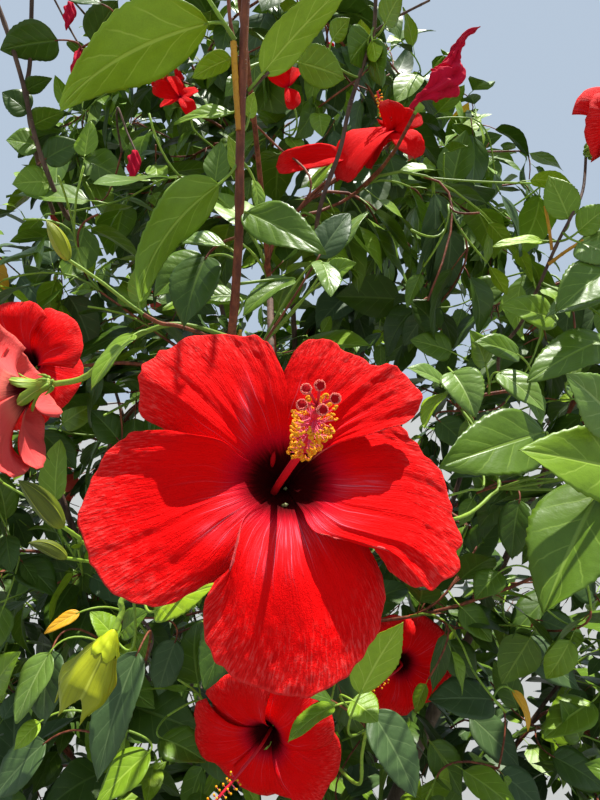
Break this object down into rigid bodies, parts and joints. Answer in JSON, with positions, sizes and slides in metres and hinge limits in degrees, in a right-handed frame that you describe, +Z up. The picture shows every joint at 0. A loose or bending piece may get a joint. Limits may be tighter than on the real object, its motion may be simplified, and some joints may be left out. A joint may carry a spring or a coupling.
{
  "type": "hibiscus shrub",
  "caption": "Rooted garden shrub with several upright stems, spreading leafy boughs and large red open blooms.",
  "frame": {"origin": "on level ground, at the middle of the flat cut under the trunk", "axes": "+Z up, -Y towards the viewer of the large front bloom, +X to that viewer's right"},
  "size_m": [1.6771, 1.7415, 1.9517],
  "materials": {
    "bark": "rough grey-brown bark, reddish on the younger wood",
    "foliage": "glossy mid-green leaves on thin twigs, with red blooms",
    "petals": "velvety scarlet petals, near black in the eye"
  },
  "bodies": {
    "root": {"trunk": "bark", "stem_1": "bark", "stem_2": "bark", "stem_3": "bark", "stem_4": "bark", "stem_5": "bark", "stem_6": "bark", "low_bough_1": "bark", "low_bough_2": "bark", "low_bough_3": "bark", "low_bough_4": "bark", "low_bough_5": "bark", "low_bough_6": "bark", "leader_1": "bark", "leader_2": "bark", "leader_3": "bark", "bloom_front": "petals", "foliage_mid_1": "foliage", "foliage_mid_2": "foliage", "foliage_mid_3": "foliage", "foliage_mid_4": "foliage", "foliage_mid_5": "foliage", "foliage_mid_6": "foliage", "foliage_low_1": "foliage", "foliage_low_2": "foliage", "foliage_low_3": "foliage", "foliage_low_4": "foliage", "foliage_low_5": "foliage", "foliage_low_6": "foliage", "foliage_top_1": "foliage", "foliage_top_2": "foliage", "foliage_top_3": "foliage"}
  },
  "joints": []
}
